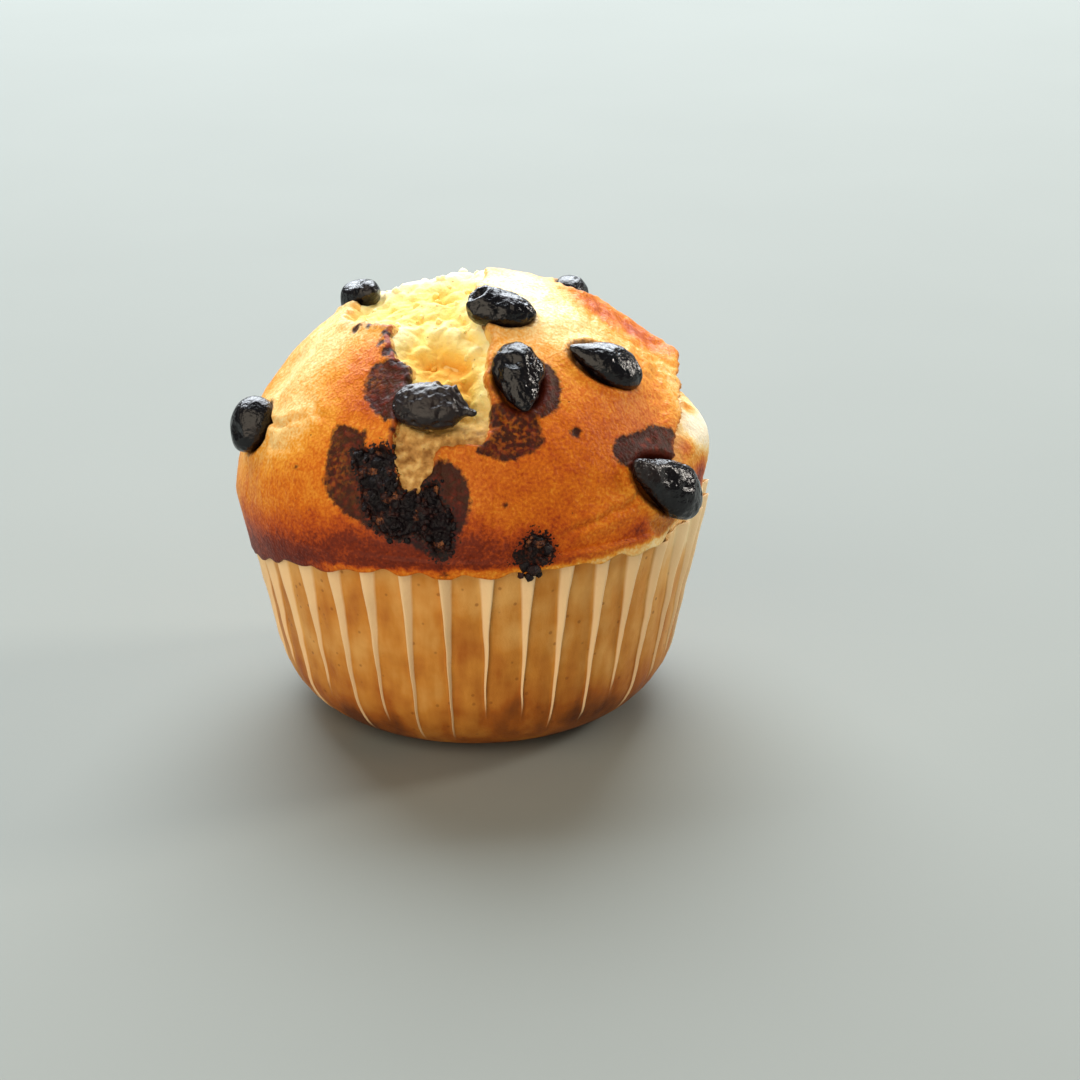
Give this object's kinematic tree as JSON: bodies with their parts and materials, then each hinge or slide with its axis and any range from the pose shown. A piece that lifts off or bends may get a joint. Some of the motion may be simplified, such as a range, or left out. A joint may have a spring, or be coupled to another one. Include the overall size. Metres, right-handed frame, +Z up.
{
  "type": "chocolate chip muffin",
  "caption": "Chocolate chip muffin with a domed, cracked golden crust, standing in a pleated paper case.",
  "frame": {"origin": "middle of the flat base, on the surface that the muffin stands on", "axes": "+Z up through the middle of the paper case to the top of the dome; -Y is the front, the side with the open end of the crack; +X is to the right, the side with the raised flap of crust"},
  "size_m": [0.0694, 0.0714, 0.0655],
  "materials": {
    "crust": "baked golden-brown crust, matt, with pale crumb where it is torn",
    "paper": "thin greaseproof paper, satin, soaked amber where it touches the cake",
    "chocolate": "dark chocolate, wrinkled and glossy"
  },
  "bodies": {
    "root": {"cake": "crust", "paper_case": "paper", "chip_01": "chocolate", "chip_02": "chocolate", "chip_03": "chocolate", "chip_04": "chocolate", "chip_05": "chocolate", "chip_06": "chocolate", "chip_07": "chocolate", "chip_08": "chocolate", "chip_09": "chocolate", "chip_10": "chocolate", "chip_11": "chocolate", "chip_12": "chocolate", "chip_13": "chocolate"}
  },
  "joints": []
}
